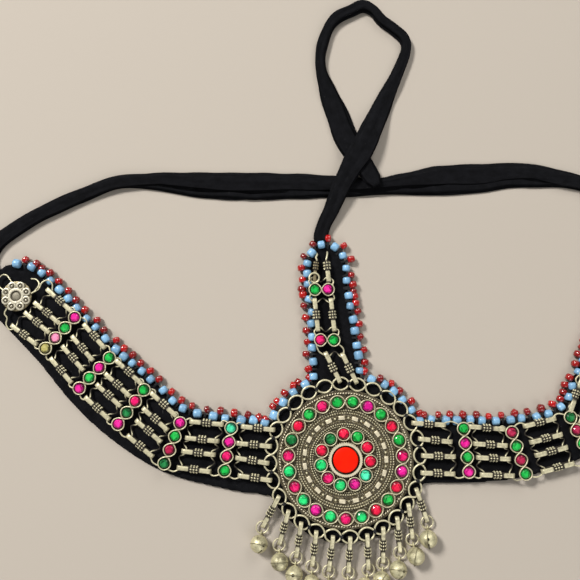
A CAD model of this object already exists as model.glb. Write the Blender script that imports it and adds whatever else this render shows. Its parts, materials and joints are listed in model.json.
"""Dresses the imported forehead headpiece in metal, stones, cotton and seed beads.

Sizes are in millimetres until a piece is settled, and in metres after that.
"""

import functools
import json
import math
import random

import bpy
import numpy as np
from mathutils import Matrix, Vector, noise

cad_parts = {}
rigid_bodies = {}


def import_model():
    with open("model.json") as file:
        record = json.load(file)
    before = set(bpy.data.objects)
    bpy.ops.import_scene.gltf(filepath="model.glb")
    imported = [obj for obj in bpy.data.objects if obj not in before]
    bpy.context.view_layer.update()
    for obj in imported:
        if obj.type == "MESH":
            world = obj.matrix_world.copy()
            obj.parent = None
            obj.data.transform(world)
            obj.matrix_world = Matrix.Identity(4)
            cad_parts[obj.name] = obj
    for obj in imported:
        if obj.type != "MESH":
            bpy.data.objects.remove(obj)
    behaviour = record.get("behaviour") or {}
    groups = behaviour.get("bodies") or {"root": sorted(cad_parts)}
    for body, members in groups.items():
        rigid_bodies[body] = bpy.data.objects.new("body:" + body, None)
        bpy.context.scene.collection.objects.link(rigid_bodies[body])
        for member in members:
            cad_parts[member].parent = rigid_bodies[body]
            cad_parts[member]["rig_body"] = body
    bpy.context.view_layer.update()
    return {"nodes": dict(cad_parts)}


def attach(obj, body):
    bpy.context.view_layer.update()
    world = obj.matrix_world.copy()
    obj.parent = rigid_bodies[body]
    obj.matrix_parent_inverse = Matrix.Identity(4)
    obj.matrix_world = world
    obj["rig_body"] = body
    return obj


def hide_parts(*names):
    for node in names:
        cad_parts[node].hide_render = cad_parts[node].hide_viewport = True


bl_info = {
    "name": "Forehead headpiece",
    "version": (1, 0, 0),
    "blender": (4, 5, 0),
    "location": "View3D > Sidebar > Headpiece",
    "description": "Builds the looks of a beaded cotton headpiece with metal links, stones and bells",
    "category": "Object",
}

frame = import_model()
NODES = frame["nodes"]
MATERIALS = {}
MM = 0.001
UP = Vector((0, 0, 1))
# Turns a primitive's axis from Z to X
ALONG_X = 0, math.pi / 2, 0

# Heights above the table
CLOTH_TOP = 1.4
BEAD_Z = CLOTH_TOP + 0.55
WIRE_Z = 3.2
CUP_FOOT = 1.65
CUP_TOP = 4.25
PLATE_FOOT = 1.7
PLATE_TOP = 3.0

# Bound links: the loop of strip, and the rows of granules along the two kinds of sleeve
LINK_LENGTH = 12.8
LINK_HEIGHT = 2.6
LINK_WIDTH = 1.7
STRIP = 0.5
LINK_ROWS = -1.08, 0.0, 1.08
DROP_ROWS = -1.25, 0.0, 1.25

# Cut stones of the medallion and of the spacers: radius, heights of foot, girdle and table.
# Then their pitch on the spacers of the band and of the crown
LOW_STONE = 1.95, 3.12, 4.3, 4.98
HIGH_STONE = 1.82, 2.47, 4.1, 4.88
BAND_PITCH = 5.15
CROWN_PITCH = 4.85

# The medallion's rings of settings: radius, heading of the first stone, stones clockwise
OUTER_RING = 20.9, 97.8, (
    "green green magenta green red green pink magenta red green red spring "
    "pink spring magenta spring pink spring pink dark red green pink"
).split()
INNER_RING = 9.2, 94.0, "red green red red aqua magenta spring pink spring red dark".split()
BAR_RING = 15.0
BARS = 19
EDGE_RADIUS = 27.5
EDGE_HOLES = 28
EDGE_FIRST = 273.0
# How far the cotton pad stands out past its plain outline, and from where to where it spreads
PAD_SPREAD = 2.15
PAD_INNER, PAD_EDGE, PAD_OUTER = 24, 28.4, 34
# Steps for each stretch of a smoothed side wire
SIDE_STEPS = 5
# The line that the beads are sewn on: both ends, one step, and how near the medallion's middle it may come
COURSE_ENDS = (-124.0, 71.6), (117.5, 78.0)
COURSE_STEP = 0.25
COURSE_NEAREST = 30.6

# Stations: x, y, heading of the band; stones from the upper edge down, on the crown from the right
STATIONS = {
    "spacer_left_1": (-106.0, 46.2, -42.3, "magenta green rose olive"),
    "spacer_left_2": (-92.7, 31.4, -44.2, "green magenta green magenta"),
    "spacer_left_3": (-78.8, 19.0, -36.6, "green pink dark magenta"),
    "spacer_left_4": (-63.4, 5.9, -20.8, "magenta green ruby dark"),
    "spacer_left_5": (-43.0, 3.7, -8.5, "aqua magenta pink green"),
    "spacer_right_1": (44.2, 3.4, 5.6, "green magenta green magenta"),
    "spacer_right_2": (63.4, 2.4, 16.8, "ruby green ruby green"),
    "spacer_right_3": (86.0, 8.2, 24.0, "dark ruby green magenta"),
    "spacer_right_4": (94.8, 25.2, 46.0, "green magenta green magenta"),
    "spacer_right_5": (104.0, 42.4, 60.0, "magenta green magenta green"),
    "crown_spacer_1": (-8.4, 62.5, -90.0, "magenta green"),
    "crown_spacer_2": (-6.4, 43.6, -90.0, "green pink"),
}
ROSETTES = {"rosette_left": (-123.1, 60.0, -48.0), "rosette_right": (112.4, 62.8, 67.0)}
# Wires of a rosette: u towards the links, v towards the upper edge, height
ROSETTE_CURL = (
    (3.0, 5.0, 4.0), (3.5, 8.0, 3.9), (2.4, 10.4, 3.6),
    (3.0, 12.5, 3.4), (5.0, 13.0, 3.3), (6.6, 11.8, 3.2),
)
ROSETTE_HOOK = (3.1, 6.9, 4.3), (3.0, 8.1, 4.2), (1.9, 9.4, 3.6), (-0.1, 9.5, 3.3), (-1.6, 8.2, 3.1)
ROSETTE_FOOT = (
    (8.5, -8.9, 3.1), (7.6, -10.1, 3.1), (5.4, -9.7, 3.2),
    (3.9, -7.9, 3.4), (2.0, -7.5, 3.6), (1.2, -5.6, 3.8),
)
ROSETTE_FAR = (
    (-4.4, 1.8, 3.8), (-6.6, 2.2, 3.5), (-8.8, 2.2, 3.2), (-10.0, 1.1, 3.0),
    (-9.9, -1.0, 3.0), (-8.6, -2.3, 3.2), (-6.6, -2.5, 3.5), (-4.4, -1.8, 3.8),
)
# Stations in the order of their links; None is the medallion
STOPS = {
    "left": ["rosette_left", *(f"spacer_left_{k}" for k in range(1, 6)), None],
    "right": [None, *(f"spacer_right_{k}" for k in range(1, 6)), "rosette_right"],
    "crown": ["crown_spacer_1", "crown_spacer_2", None],
}
# Each node of links with the stations at its two ends
LINK_RUNS = [
    (f"links_{side}_{k}", *ends)
    for side, stops in STOPS.items()
    for k, ends in enumerate(zip(stops, stops[1:]), 1)
]

# Folded ties as they lie: x, y, width, height of the underside
BACK_TIE = (
    (-134.9, 70.8, 6.2, 0), (-135.2, 75.4, 6, 0), (-132.6, 80.6, 5.9, 0), (-127.2, 85.1, 5.8, 0),
    (-117.7, 91.3, 5.4, 0), (-101.4, 99.2, 5.4, 0), (-86.8, 104.5, 4.9, 0), (-73.4, 105.0, 6.5, 0),
    (-54.8, 103.5, 9.7, 0), (-36.3, 103.0, 10.7, 0), (-21.4, 103.1, 10.2, 0), (-5.6, 103.0, 8.4, 0),
    (4.9, 102.8, 7.6, 0), (15.2, 103.0, 6.4, 0), (27.8, 104.3, 9.3, 0), (40.4, 105.6, 12, 0),
    (53.8, 106.2, 10.9, 0), (65.0, 107.4, 10, 0), (76.1, 107.0, 8.5, 0), (87.2, 105.5, 6.3, 0),
    (97.0, 102.6, 5.2, 0), (106.4, 98.0, 5.4, 0), (112.8, 91.4, 5.6, 0), (115.9, 86.0, 5.8, 0),
    (116.4, 80.2, 6.2, 0),
)
TOP_TIE = (
    (-8.6, 80.9, 4.6, 0), (-8.4, 83.6, 5.2, 0), (-6.9, 88.2, 5.2, 0.2), (-4.4, 93.6, 5.8, 1.2),
    (-1.7, 99.8, 6.6, 2.3), (0.6, 104.9, 7.2, 2.7), (3.4, 110.0, 8.2, 3.5), (6.4, 114.8, 9.2, 3.7),
    (9.4, 120.6, 8.8, 3.3), (11.7, 125.6, 8.4, 2.5), (14.2, 131.4, 7.6, 0.9), (16.8, 137.3, 6.7, 0),
    (21.6, 147.5, 4.7, 0), (25.5, 157.4, 3.9, 0), (25.0, 162.6, 4, 0), (20.6, 167.0, 4, 0),
    (16.2, 170.4, 4, 0), (12.8, 174.6, 4, 0), (8.6, 176.5, 4.6, 0), (4.0, 174.5, 4.4, 0),
    (-1.4, 171.7, 4.6, 0), (-4.9, 167.4, 4, 0), (-7.3, 160.8, 4.6, 0), (-8.3, 154.6, 3.8, 0),
    (-7.7, 148.2, 4.2, 0), (-5.2, 141.2, 6.7, 0), (-2.1, 132.6, 8.6, 0), (0.8, 124.1, 9.2, 0.3),
    (4.0, 117.2, 8.6, 1.5), (8.2, 110.8, 7.4, 2.25), (11.6, 105.2, 6.2, 2.3), (13.0, 102.4, 5.6, 2.3),
)


def srgb(r, g, b):
    """A screen colour, 0 to 255, as linear values."""
    out = []
    for c in (r / 255, g / 255, b / 255):
        out.append(c / 12.92 if c <= 0.04045 else ((c + 0.055) / 1.055) ** 2.4)
    return (*out, 1.0)


def shade(colour, factor, lift=0.0):
    """A colour made darker or brighter."""
    return (*(min(1.0, factor * c + lift) for c in colour[:3]), 1.0)


STONE_COLOURS = {
    "green": srgb(14, 176, 66),
    "spring": srgb(30, 212, 112),
    "dark": srgb(8, 118, 54),
    "aqua": srgb(70, 226, 168),
    "magenta": srgb(224, 14, 140),
    "pink": srgb(232, 12, 102),
    "red": srgb(230, 12, 62),
    "ruby": srgb(170, 20, 66),
    "rose": srgb(240, 136, 170),
    "olive": srgb(172, 162, 92),
}


def colour_property(name, description, default):
    return bpy.props.FloatVectorProperty(
        name=name, description=description, default=default, size=4, min=0, max=1, subtype="COLOR"
    )


def length_property(name, description, default):
    return bpy.props.FloatProperty(
        name=name, description=description, default=default * MM, min=0, precision=5,
        unit="LENGTH", subtype="DISTANCE",
    )


class HeadpieceColours(bpy.types.PropertyGroup):
    pale_silver: colour_property("Pale silver", "Worn high places of the links and rims", srgb(216, 207, 170))
    dark_silver: colour_property("Dark silver", "Ground of the medallion", srgb(162, 148, 113))
    tarnish: colour_property("Tarnish", "Dirt and tarnish in the grooves", srgb(44, 38, 28))
    cotton: colour_property("Cotton", "Black cloth of the band and ties", srgb(13, 13, 14))
    blue_bead: colour_property("Blue beads", "Opaque seed beads along the edge", srgb(124, 168, 200))
    red_bead: colour_property("Red beads", "Outer row of seed beads", srgb(154, 13, 9))
    centre_stone: colour_property("Centre stone", "Flat stone in the middle", srgb(238, 28, 0))


class HeadpieceSizes(bpy.types.PropertyGroup):
    bead_pitch: length_property("Bead pitch", "From one blue bead to the next", 4.9)
    blue_bead_size: length_property("Blue bead", "Diameter of a blue bead", 3.2)
    red_bead_size: length_property("Red bead", "Diameter of a red bead", 2.95)
    rim_wire: length_property("Rim wire", "Diameter of the wire round the stones", 0.46)
    side_wire: length_property("Side wire", "Diameter of the wire that the links hang on", 0.55)
    edge_wire: length_property("Edge wire", "Diameter of the wires round the medallion", 0.68)
    weave_pitch: length_property("Weave pitch", "From one cotton thread to the next", 0.42)


def clamped(value, low=0.0, high=1.0):
    return min(high, max(low, value))


def in_mm(name):
    """One of the headpiece's sizes, in millimetres."""
    return getattr(bpy.context.scene.headpiece_sizes, name) / MM


# Selecting and modelling


def deselect():
    if bpy.context.mode != "OBJECT":
        bpy.ops.object.mode_set(mode="OBJECT")
    bpy.ops.object.select_all(action="DESELECT")


def only(obj):
    deselect()
    obj.select_set(True)
    bpy.context.view_layer.objects.active = obj


def apply_place():
    bpy.ops.object.transform_apply(location=True, rotation=True, scale=True)


def start(add, **settings):
    """Adds an object with nothing else selected."""
    deselect()
    add(**settings)
    return bpy.context.active_object


def primitive(kind, **settings):
    """Adds a mesh primitive and moves its place into its mesh."""
    made = start(getattr(bpy.ops.mesh, f"primitive_{kind}_add"), **settings)
    apply_place()
    return made


def cylinder(sides, radius, depth, middle):
    """An upright cylinder round the Z axis, its middle at a height."""
    return primitive("cylinder", vertices=sides, radius=radius, depth=depth, location=(0, 0, middle))


def torus(radius, wire, segments, sides, **settings):
    return primitive(
        "torus", major_radius=radius, minor_radius=wire, major_segments=segments, minor_segments=sides,
        **settings,
    )


def ball(radius, segments, rings, **settings):
    return primitive("uv_sphere", radius=radius, segments=segments, ring_count=rings, **settings)


def select_nothing(obj, points):
    """Gets a mesh ready to have points or faces selected."""
    only(obj)
    bpy.context.tool_settings.mesh_select_mode = (points, False, not points)
    for items in (obj.data.vertices, obj.data.edges, obj.data.polygons):
        items.foreach_set("select", np.zeros(len(items), bool))


def pick_points(obj, test=lambda co: True):
    """Enters edit mode with those points selected whose place passes the test."""
    select_nothing(obj, points=True)
    for vertex in obj.data.vertices:
        vertex.select = bool(test(vertex.co))
    bpy.ops.object.mode_set(mode="EDIT")


def pick_faces(obj, test=lambda centre, normal: True):
    """Enters edit mode with those faces selected whose centre and normal pass the test."""
    select_nothing(obj, points=False)
    for face in obj.data.polygons:
        face.select = bool(test(face.center, face.normal))
    bpy.ops.object.mode_set(mode="EDIT")


def pick_top(obj):
    pick_faces(obj, lambda c, n: n.z > 0.9)


def edit_all(obj):
    only(obj)
    bpy.ops.object.mode_set(mode="EDIT")
    bpy.ops.mesh.select_all(action="SELECT")


def leave():
    bpy.ops.object.mode_set(mode="OBJECT")


def shift(vector):
    bpy.ops.transform.translate(value=vector)


def scale_about(factors, centre=(0, 0, 0)):
    bpy.ops.transform.resize(value=factors, center_override=centre)


def inset(width):
    bpy.ops.mesh.inset(thickness=width)


def extrude(vector):
    bpy.ops.mesh.extrude_region_move(TRANSFORM_OT_translate={"value": vector})


def stretched(obj, factors):
    """Scales the whole of a mesh about the origin."""
    pick_points(obj)
    scale_about(factors)
    leave()
    return obj


def sink_top(obj, wall, depth):
    """Lowers the top of a solid and leaves a wall round it."""
    pick_top(obj)
    inset(wall)
    extrude((0, 0, -depth))
    leave()


def apply_modifier(obj, kind, **settings):
    only(obj)
    modifier = obj.modifiers.new(kind.title(), kind)
    for name, value in settings.items():
        setattr(modifier, name, value)
    bpy.ops.object.modifier_apply(modifier=modifier.name)


def round_edges(obj, width, **settings):
    apply_modifier(obj, "BEVEL", width=width, segments=2, limit_method="ANGLE", **settings)


def smooth_faces(obj, angle=40):
    only(obj)
    bpy.ops.object.shade_smooth_by_angle(angle=math.radians(angle))


def joined(parts):
    deselect()
    for part in parts:
        part.select_set(True)
    bpy.context.view_layer.objects.active = parts[0]
    if len(parts) > 1:
        bpy.ops.object.join()
    return bpy.context.active_object


def twin(pattern, place):
    """A copy of a pattern with its own mesh, at a place."""
    copy = pattern.copy()
    copy.data = pattern.data.copy()
    bpy.context.collection.objects.link(copy)
    copy.matrix_world = place
    return copy


def remove(*objects):
    for obj in objects:
        mesh = obj.data
        bpy.data.objects.remove(obj)
        if mesh.users == 0:
            bpy.data.meshes.remove(mesh)


def scattered(pattern, places):
    """One object of copies of the pattern at the places; the pattern itself goes."""
    whole = joined([twin(pattern, place) for place in places])
    apply_place()
    remove(pattern)
    return whole


def settled(name, parts, nodes=()):
    """Joins parts into one named piece, in metres, that rides on the root and stands for nodes."""
    whole = joined(parts)
    apply_place()
    whole.scale = (MM, MM, MM)
    apply_place()
    whole.name = whole.data.name = name
    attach(whole, "root")
    if nodes:
        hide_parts(*nodes)
    return whole


def paint(obj, material, grime=None):
    """Gives a mesh one material and, on metal, each point's depth in tarnish from 0 to 1."""
    obj.data.materials.clear()
    obj.data.materials.append(MATERIALS[material])
    if grime is not None:
        depth = grime if callable(grime) else lambda co: grime
        values = [clamped(depth(v.co)) for v in obj.data.vertices]
        obj.data.attributes.new("grime", "FLOAT", "POINT").data.foreach_set("value", values)
    return obj


# Places and paths


def ripple(*where):
    """Smooth noise between about -1 and 1."""
    return noise.noise(Vector(where))


def place_at(x, y, z, heading=0.0):
    return Matrix.Translation((x, y, z)) @ Matrix.Rotation(math.radians(heading), 4, "Z")


def laid_along(middle, direction):
    """The place of a pattern whose X axis follows a direction and whose Y axis stays level."""
    x = Vector(direction).normalized()
    y = UP.cross(x).normalized()
    return Matrix.Translation(middle) @ Matrix((x, y, x.cross(y))).transposed().to_4x4()


def along(degrees):
    return np.array((math.cos(math.radians(degrees)), math.sin(math.radians(degrees))))


def round_ring(radius, count, first=0.0, way=1):
    """Even places round the Z axis as x, y and heading; way is -1 for clockwise."""
    for k in range(count):
        heading = first + way * 360 * k / count
        yield (*(radius * along(heading)), heading)


def station_point(station, u, v):
    """A point u along the band and v towards its upper edge from a station's middle."""
    x, y, heading = station[:3]
    return np.array((x, y)) + u * along(heading) + v * along(heading + 90)


def on_station(station, path):
    return [(*station_point(station, u, v), z) for u, v, z in path]


def stone_offsets(station):
    """The pitch of a spacer's stones, and how far towards the upper edge each of them sits."""
    count = len(station[3].split())
    pitch = BAND_PITCH if count == 4 else CROWN_PITCH
    return pitch, [((count - 1) / 2 - j) * pitch for j in range(count)]


def smooth_path(rows, steps):
    """Rows of a smooth curve through the given ones."""
    rows = np.asarray(rows, float)
    last = len(rows) - 1
    out = []
    for i in range(last):
        a, b, c, d = (rows[clamped(i + k, 0, last)] for k in (-1, 0, 1, 2))
        for t in np.arange(steps) / steps:
            near = 2 * b + (c - a) * t + (2 * a - 5 * b + 4 * c - d) * t**2
            out.append((near + (3 * b - a - 3 * c + d) * t**3) / 2)
    return np.array([*out, rows[-1]])


def even_steps(path, step, closed=False):
    """A path's points at even distances."""
    path = np.asarray(path, float)
    if closed:
        path = np.vstack((path, path[:1]))
    run = np.concatenate(([0], np.cumsum(np.linalg.norm(np.diff(path, axis=0), axis=1))))
    count = max(2, round(run[-1] / step))
    marks = np.linspace(0, run[-1], count + 1)
    return np.column_stack([np.interp(marks, run, path[:, k]) for k in range(path.shape[1])])


def directions(path):
    """Unit vectors along a path and to its left, at each of its points."""
    ahead = np.gradient(path[:, :2], axis=0)
    ahead /= np.linalg.norm(ahead, axis=1)[:, None]
    return ahead, np.column_stack((-ahead[:, 1], ahead[:, 0]))


def wires(paths, radius, material, closed=False, sides=2, grime=None):
    """Round wires along paths, as one mesh."""
    obj = start(bpy.ops.curve.primitive_nurbs_path_add)
    curve = obj.data
    curve.splines.clear()
    curve.bevel_depth = radius
    curve.bevel_resolution = sides
    curve.use_fill_caps = True
    curve.twist_mode = "Z_UP"
    for path in paths:
        spline = curve.splines.new("POLY")
        spline.points.add(len(path) - 1)
        spline.points.foreach_set("co", np.column_stack((path, np.ones(len(path)))).ravel())
        spline.use_cyclic_u = closed
        spline.use_smooth = True
    only(obj)
    bpy.ops.object.convert(target="MESH")
    return paint(bpy.context.active_object, material, grime)


# Reading the CAD nodes


def middle_of(points):
    return (points.min(axis=0) + points.max(axis=0)) / 2


def loose_parts(node):
    """The points of each separate solid of a CAD node, in millimetres."""
    mesh = NODES[node].data
    points = np.array([tuple(v.co) for v in mesh.vertices]) / MM
    corners = np.array([tuple(p.vertices) for p in mesh.polygons])
    _, same = np.unique(np.round(points, 3), axis=0, return_inverse=True)
    corners = same.ravel()[corners]
    label = np.arange(corners.max() + 1)
    while True:
        lowest = label[corners].min(axis=1)
        new = label.copy()
        for k in range(3):
            np.minimum.at(new, corners[:, k], lowest)
        new = new[new]
        if np.array_equal(new, label):
            break
        label = new
    part = label[same.ravel()]
    return [points[part == which] for which in np.unique(part)]


def long_axis(points):
    """Middle, direction and length of a long solid."""
    middle = middle_of(points)
    for _ in range(2):
        direction = np.linalg.svd(points - points.mean(axis=0), full_matrices=False)[2][0]
        reach = (points - middle) @ direction
        middle = middle + direction * (reach.max() + reach.min()) / 2
    return middle, direction, reach.max() - reach.min()


@functools.cache
def link_axes(node):
    return [long_axis(part) for part in loose_parts(node)]


def band_outline():
    """The outline of the cotton band's top, anticlockwise, in millimetres."""
    mesh = NODES["cloth_band"].data
    points = np.array([tuple(v.co) for v in mesh.vertices]) / MM
    flat, same = np.unique(np.round(points[:, :2], 2), axis=0, return_inverse=True)
    same = same.ravel()
    sides = set()
    for face in mesh.polygons:
        corners = list(face.vertices)
        if all(points[c, 2] > CLOTH_TOP - 0.02 for c in corners):
            for a, b in zip(corners, corners[1:] + corners[:1]):
                sides.add((same[a], same[b]))
    ahead = {a: b for a, b in sides if (b, a) not in sides}
    chains = []
    while ahead:
        first, here = ahead.popitem()
        chain = [first]
        while here != first and here in ahead:
            chain.append(here)
            here = ahead.pop(here)
        chains.append(chain)
    return flat[max(chains, key=len)]


# Materials


class Nodes:
    """Adds and joins shader nodes of one material or node group."""

    def __init__(self, tree):
        self.tree = tree
        tree.nodes.clear()

    def feed(self, node, inputs):
        """Joins or sets a node's inputs, by name or number."""
        for name, value in inputs.items():
            if isinstance(value, bpy.types.NodeSocket):
                self.tree.links.new(value, node.inputs[name])
            else:
                node.inputs[name].default_value = value
        return node

    def add(self, kind, inputs=None, **settings):
        node = self.tree.nodes.new(kind)
        for name, value in settings.items():
            setattr(node, name, value)
        return self.feed(node, inputs or {})

    def math(self, operation, a, b, clamp=False):
        return self.add("ShaderNodeMath", {0: a, 1: b}, operation=operation, use_clamp=clamp).outputs[0]

    def mix(self, factor, a, b):
        return self.add("ShaderNodeMix", {0: factor, 6: a, 7: b}, data_type="RGBA").outputs[2]

    def ramp(self, value, low, high, out_low=0.0, out_high=1.0):
        inputs = {0: value, 1: low, 2: high, 3: out_low, 4: out_high}
        return self.add("ShaderNodeMapRange", inputs, interpolation_type="SMOOTHSTEP").outputs[0]

    def noise(self, where, scale, detail=3.0, rough=0.6):
        inputs = {"Vector": where, "Scale": scale, "Detail": detail, "Roughness": rough}
        return self.add("ShaderNodeTexNoise", inputs).outputs["Fac"]

    def bump(self, height, strength, distance):
        inputs = {"Height": height, "Strength": strength, "Distance": distance}
        return self.add("ShaderNodeBump", inputs).outputs[0]

    def place(self, kind="Object"):
        return self.add("ShaderNodeTexCoord").outputs[kind]

    def attribute(self, name):
        return self.add("ShaderNodeAttribute", attribute_name=name).outputs["Fac"]


def new_group(name, inputs, outputs):
    """An empty shader node group with named sockets: its nodes, its inputs and its output node."""
    tree = bpy.data.node_groups.new(name, "ShaderNodeTree")
    for socket, kind, value in inputs:
        made = tree.interface.new_socket(socket, in_out="INPUT", socket_type="NodeSocket" + kind)
        made.default_value = value
    for socket, kind in outputs:
        tree.interface.new_socket(socket, in_out="OUTPUT", socket_type="NodeSocket" + kind)
    n = Nodes(tree)
    return n, n.add("NodeGroupInput").outputs, n.add("NodeGroupOutput")


def tarnish_group():
    """Old silver: pale where it is rubbed, dark in its grooves and in patches."""
    n, given, result = new_group(
        "Tarnish",
        (
            ("Pale", "Color", (0.8, 0.8, 0.8, 1)),
            ("Dark", "Color", (0.05, 0.05, 0.05, 1)),
            ("Grime", "Float", 0.0),
            ("Patchiness", "Float", 0.3),
            ("Patch Scale", "Float", 500.0),
        ),
        (("Color", "Color"), ("Roughness", "Float"), ("Height", "Float")),
    )
    where = n.place()
    patches = n.noise(where, given["Patch Scale"], 4.0, 0.65)
    grains = n.noise(where, 4200.0, 2.0, 0.5)
    streaks = n.noise(where, 1500.0, 3.0, 0.6)
    patched = n.math("MULTIPLY", n.ramp(patches, 0.46, 0.74), given["Patchiness"])
    rough_edge = n.math("ADD", given["Grime"], n.math("MULTIPLY", n.math("SUBTRACT", grains, 0.5), 0.5))
    depth = n.math("MAXIMUM", n.ramp(rough_edge, 0.2, 0.85), patched, clamp=True)
    colour = n.mix(depth, given["Pale"], given["Dark"])
    rubbed = n.ramp(streaks, 0.25, 0.75, 0.34, 0.5)
    n.feed(result, {
        "Color": n.mix(n.ramp(streaks, 0.3, 0.7, 0.0, 0.22), colour, given["Dark"]),
        "Roughness": n.math("ADD", n.math("MULTIPLY", depth, 0.25), rubbed, clamp=True),
        "Height": n.math("ADD", grains, n.math("MULTIPLY", streaks, 1.6)),
    })
    return n.tree


def weave_group():
    """Plain weave from two crossed sets of threads, with lint caught on it."""
    n, given, result = new_group(
        "Weave",
        (
            ("Vector", "Vector", (0, 0, 0)),
            ("Threads", "Float", 700.0),
            ("Cloth", "Color", (0.02, 0.02, 0.02, 1)),
        ),
        (("Color", "Color"), ("Height", "Float")),
    )
    where = given["Vector"]
    wave = {"Vector": where, "Scale": given["Threads"], "Distortion": 0.6, "Detail": 1.0, "Detail Scale": 0.4}
    height = n.math("MAXIMUM", *(
        n.add("ShaderNodeTexWave", wave, bands_direction=axis).outputs["Fac"] for axis in ("X", "Y")
    ))
    slub = n.noise(where, 260.0, 4.0, 0.7)
    lint = n.ramp(n.noise(where, 900.0, 1.0, 0.5), 0.74, 0.84, 0.0, 0.13)
    toned = n.mix(n.ramp(slub, 0.25, 0.75, 0.0, 0.55), given["Cloth"], (0.012, 0.012, 0.014, 1))
    dipped = n.mix(n.ramp(height, 0.2, 0.9, 0.5, 0.0), toned, (0.002, 0.002, 0.003, 1))
    n.feed(result, {
        "Color": n.mix(lint, dipped, (0.30, 0.29, 0.27, 1)),
        "Height": n.math("ADD", height, n.math("MULTIPLY", slub, 0.7)),
    })
    return n.tree


def new_material(name, colour):
    material = bpy.data.materials.new(name)
    material.use_nodes = True
    material.diffuse_color = colour
    return material, Nodes(material.node_tree)


def shader(n, colour, roughness, **more):
    """The Principled shader of a material, joined to its output."""
    inputs = {name.replace("_", " "): value for name, value in more.items()}
    main = n.add("ShaderNodeBsdfPrincipled", {"Base Color": colour, "Roughness": roughness, **inputs})
    n.add("ShaderNodeOutputMaterial", {0: main.outputs[0]})


def metal(name, tarnish, pale, dark, patchiness, patch_scale, bump, metallic):
    """Old silver, with hatched rings where it is the ground of the medallion."""
    material, n = new_material(name, pale)
    look = {"Pale": pale, "Dark": dark, "Patchiness": patchiness, "Patch Scale": patch_scale}
    group = n.add("ShaderNodeGroup", {**look, "Grime": n.attribute("grime")}, node_tree=tarnish).outputs
    colour, height = group["Color"], group["Height"]
    if name == "medallion_ground":
        where = n.place()
        wave = {"Vector": where, "Scale": 330.0, "Distortion": 5.0, "Detail": 2.0, "Detail Scale": 160.0}
        rings = n.add("ShaderNodeTexWave", wave, wave_type="RINGS", rings_direction="Z").outputs["Fac"]
        pits = n.ramp(n.noise(where, 1100.0), 0.36, 0.62)
        relief = n.math("MULTIPLY", n.ramp(rings, 0.15, 0.8), pits)
        glints = n.ramp(n.noise(where, 1900.0, 2.0, 0.5), 0.54, 0.64, 0.0, 0.85)
        colour = n.mix(n.ramp(relief, 0.0, 0.8, 0.85, 0.0), n.mix(glints, colour, (0.66, 0.6, 0.45, 1)), dark)
        height = n.math("ADD", height, n.math("MULTIPLY", relief, 6.0))
    shader(n, colour, group["Roughness"], Metallic=metallic, Normal=n.bump(height, bump, 0.0002))
    return material


def cotton_material(name, weave, cloth, by_uv):
    material, n = new_material(name, cloth)
    pitch = bpy.context.scene.headpiece_sizes.weave_pitch
    where, turn = (n.place("UV"), 0.0) if by_uv else (n.place(), -0.12)
    turned = n.add("ShaderNodeMapping", {"Vector": where, "Rotation": (0, 0, turn)}).outputs[0]
    inputs = {"Vector": turned, "Threads": 0.314 / pitch, "Cloth": cloth}
    group = n.add("ShaderNodeGroup", inputs, node_tree=weave).outputs
    colour = n.mix(n.attribute("crease"), group["Color"], (0.0008, 0.0008, 0.001, 1))
    shader(n, colour, 0.95, Specular_IOR_Level=0.06, Normal=n.bump(group["Height"], 0.5, 0.00018))
    return material


def stone_material(name, colour):
    """Glass over bright foil: each facet throws back its own share of light."""
    material, n = new_material(name, colour)
    tone = n.attribute("tone")
    flaws = n.noise(n.place(), 700.0, 2.0, 0.5)
    depth = shade(colour, 0.16)
    shaded = n.mix(n.ramp(tone, 0.0, 0.5), depth, colour)
    bright = n.mix(n.ramp(tone, 0.5, 1.0), shaded, shade(colour, 1.25, 0.05))
    clouded = n.mix(n.ramp(flaws, 0.4, 0.75, 0.0, 0.35), bright, depth)
    shader(n, clouded, 0.3, Specular_IOR_Level=0.3, Coat_Weight=0.5, Coat_Roughness=0.05)
    return material


def bead_material(name, colour, variation, coat, rough):
    """Glass or thread whose pieces differ in tone."""
    material, n = new_material(name, colour)
    darker = shade(colour, 1 - variation)
    toned = n.mix(n.attribute("tone"), darker, shade(colour, 1 + 0.6 * variation))
    cloud = n.noise(n.place(), 900.0, 2.0, 0.5)
    shaded = n.mix(n.ramp(cloud, 0.35, 0.75, 0.0, 0.3), toned, darker)
    shader(n, shaded, rough, Specular_IOR_Level=0.5, Coat_Weight=coat, Coat_Roughness=0.08)
    return material


def centre_stone_material(colour):
    material, n = new_material("stone_vermilion", colour)
    cloud = n.noise(n.place(), 260.0, 4.0)
    worn = n.mix(n.ramp(cloud, 0.3, 0.75, 0.0, 0.7), colour, srgb(206, 16, 0))
    fine = n.bump(n.noise(n.place(), 1400.0), 0.1, 0.0001)
    shader(n, worn, 0.5, Specular_IOR_Level=0.1, Normal=fine)
    return material


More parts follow.
